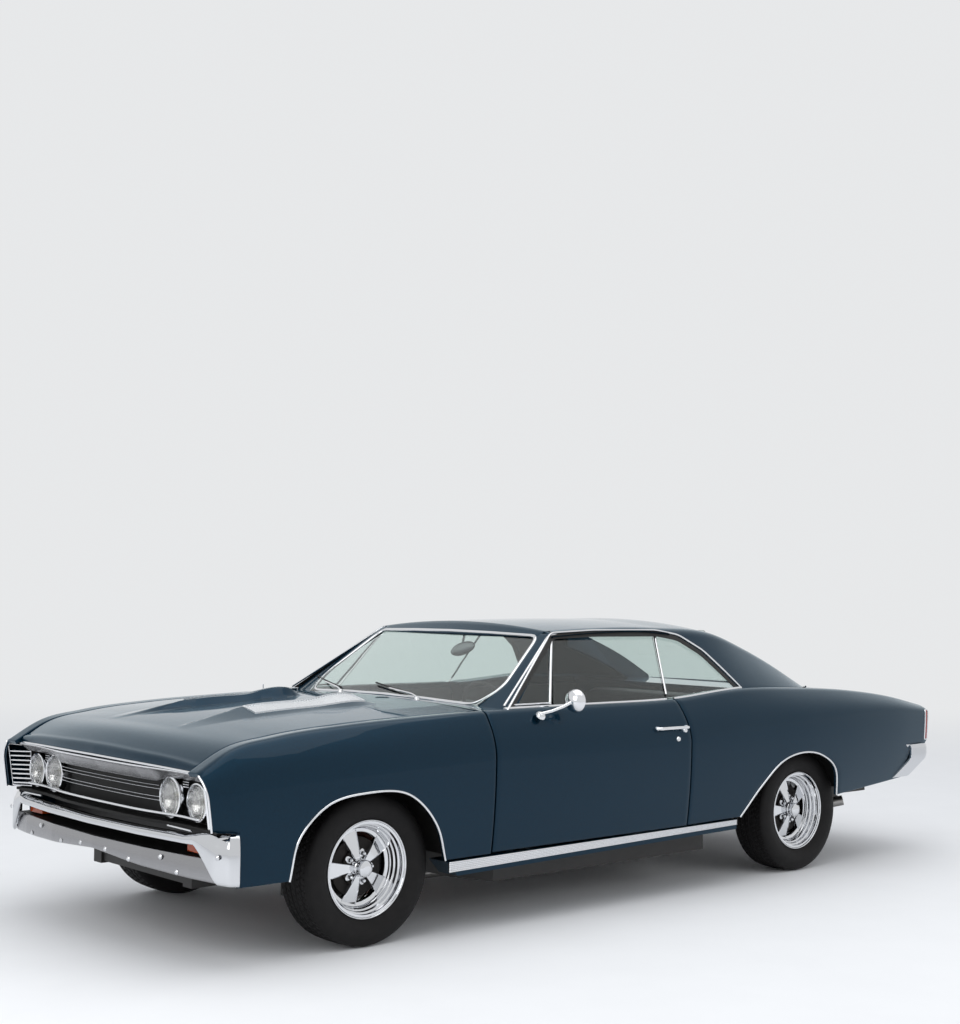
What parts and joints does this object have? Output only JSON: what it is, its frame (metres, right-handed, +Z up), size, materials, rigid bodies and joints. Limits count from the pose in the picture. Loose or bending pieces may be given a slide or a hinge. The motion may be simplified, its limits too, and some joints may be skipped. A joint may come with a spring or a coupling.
{
  "type": "two-door hardtop muscle car",
  "caption": "Two-door hardtop muscle car with long hood, sail-panel roof, five-spoke wheels, opening doors, hood and trunk, steering and rolling wheels.",
  "frame": {"origin": "on the ground, below the centre of the car", "axes": "+X to the nose, +Y to the car's left, +Z up"},
  "size_m": [5.004, 1.991, 1.3522],
  "materials": {
    "body_paint": "dark blue-green metallic gloss",
    "window_glass": "clear",
    "tyre": "black rubber",
    "wheel_chrome": "polished",
    "trim_chrome": "polished",
    "lamp_glass": "fluted clear lens",
    "tail_lens": "red lens",
    "park_lens": "amber lens",
    "seat_vinyl": "black vinyl",
    "cabin_plastic": "black grained",
    "exhaust_steel": "aluminised",
    "grille_black": "black with bright edges",
    "chassis_black": "satin black"
  },
  "bodies": {
    "body": {"antenna": "trim_chrome", "cowl": "body_paint", "dashboard": "cabin_plastic", "deck_panel": "body_paint", "driveshaft": "chassis_black", "engine": "chassis_black", "exhaust": "exhaust_steel", "fender_left": "body_paint", "fender_right": "body_paint", "floor_pan": "chassis_black", "frame": "chassis_black", "front_bumper": "trim_chrome", "front_seats": "seat_vinyl", "front_suspension": "chassis_black", "front_valance": "trim_chrome", "fuel_tank": "chassis_black", "grille": "grille_black", "headlamps": "lamp_glass", "park_lamps": "park_lens", "quarter_left": "body_paint", "quarter_right": "body_paint", "quarter_windows": "window_glass", "radiator": "chassis_black", "rear_axle": "chassis_black", "rear_bumper": "trim_chrome", "rear_seat": "seat_vinyl", "rear_springs": "chassis_black", "rear_window": "window_glass", "rocker_mouldings": "trim_chrome", "rocker_panels": "body_paint", "roof": "body_paint", "steering_column": "cabin_plastic", "tail_lamps": "tail_lens", "tail_panel": "chassis_black", "wheelhouses": "chassis_black", "windshield": "window_glass", "wipers": "trim_chrome"},
    "hood": {"hood": "body_paint", "hood_inserts": "trim_chrome"},
    "decklid": {"decklid": "body_paint"},
    "door_left": {"door_left": "body_paint", "door_glass_left": "window_glass", "door_handle_left": "trim_chrome", "mirror_left": "trim_chrome"},
    "door_right": {"door_right": "body_paint", "door_glass_right": "window_glass", "door_handle_right": "trim_chrome"},
    "knuckle_left": {"knuckle_left": "chassis_black"},
    "knuckle_right": {"knuckle_right": "chassis_black"},
    "wheel_front_left": {"wheel_front_left": "wheel_chrome", "tyre_front_left": "tyre"},
    "wheel_front_right": {"wheel_front_right": "wheel_chrome", "tyre_front_right": "tyre"},
    "wheel_rear_left": {"wheel_rear_left": "wheel_chrome", "tyre_rear_left": "tyre"},
    "wheel_rear_right": {"wheel_rear_right": "wheel_chrome", "tyre_rear_right": "tyre"},
    "steering_wheel": {"steering_wheel": "cabin_plastic"}
  },
  "joints": [
    {"name": "steer_left", "type": "hinge", "parent": "body", "child": "knuckle_left", "pos_m": [1.652, 0.665, 0.322], "axis": [0, 0, 1], "range_deg": [-30, 30]},
    {"name": "steer_right", "type": "hinge", "parent": "body", "child": "knuckle_right", "pos_m": [1.652, -0.665, 0.322], "axis": [0, 0, 1], "range_deg": [-30, 30]},
    {"name": "steering_wheel_turn", "type": "hinge", "parent": "body", "child": "steering_wheel", "pos_m": [0.56, 0.37, 0.86], "axis": [-0.9191, 0, 0.3939], "range_deg": [-480, 480]},
    {"name": "door_left_hinge", "type": "hinge", "parent": "body", "child": "door_left", "pos_m": [0.985, 0.945, 0.6], "axis": [0, 0, -1], "range_deg": [0, 65]},
    {"name": "door_right_hinge", "type": "hinge", "parent": "body", "child": "door_right", "pos_m": [0.985, -0.945, 0.6], "axis": [0, 0, 1], "range_deg": [0, 65]},
    {"name": "hood_hinge", "type": "hinge", "parent": "body", "child": "hood", "pos_m": [1.032, 0, 0.987], "axis": [0, -1, 0], "range_deg": [0, 50]},
    {"name": "decklid_hinge", "type": "hinge", "parent": "body", "child": "decklid", "pos_m": [-1.564, 0, 0.974], "axis": [0, 1, 0], "range_deg": [0, 60]},
    {"name": "wheel_front_left_spin", "type": "hinge", "parent": "knuckle_left", "child": "wheel_front_left", "pos_m": [1.652, 0.7365, 0.322], "axis": [0, 1, 0], "continuous": true},
    {"name": "wheel_front_right_spin", "type": "hinge", "parent": "knuckle_right", "child": "wheel_front_right", "pos_m": [1.652, -0.7365, 0.322], "axis": [0, 1, 0], "continuous": true},
    {"name": "wheel_rear_left_spin", "type": "hinge", "parent": "body", "child": "wheel_rear_left", "pos_m": [-1.269, 0.7365, 0.322], "axis": [0, 1, 0], "continuous": true},
    {"name": "wheel_rear_right_spin", "type": "hinge", "parent": "body", "child": "wheel_rear_right", "pos_m": [-1.269, -0.7365, 0.322], "axis": [0, 1, 0], "continuous": true}
  ],
  "couplings": [
    {"joint": "steer_right", "follows": "steer_left", "ratio": 1},
    {"joint": "steering_wheel_turn", "follows": "steer_left", "ratio": 16}
  ]
}
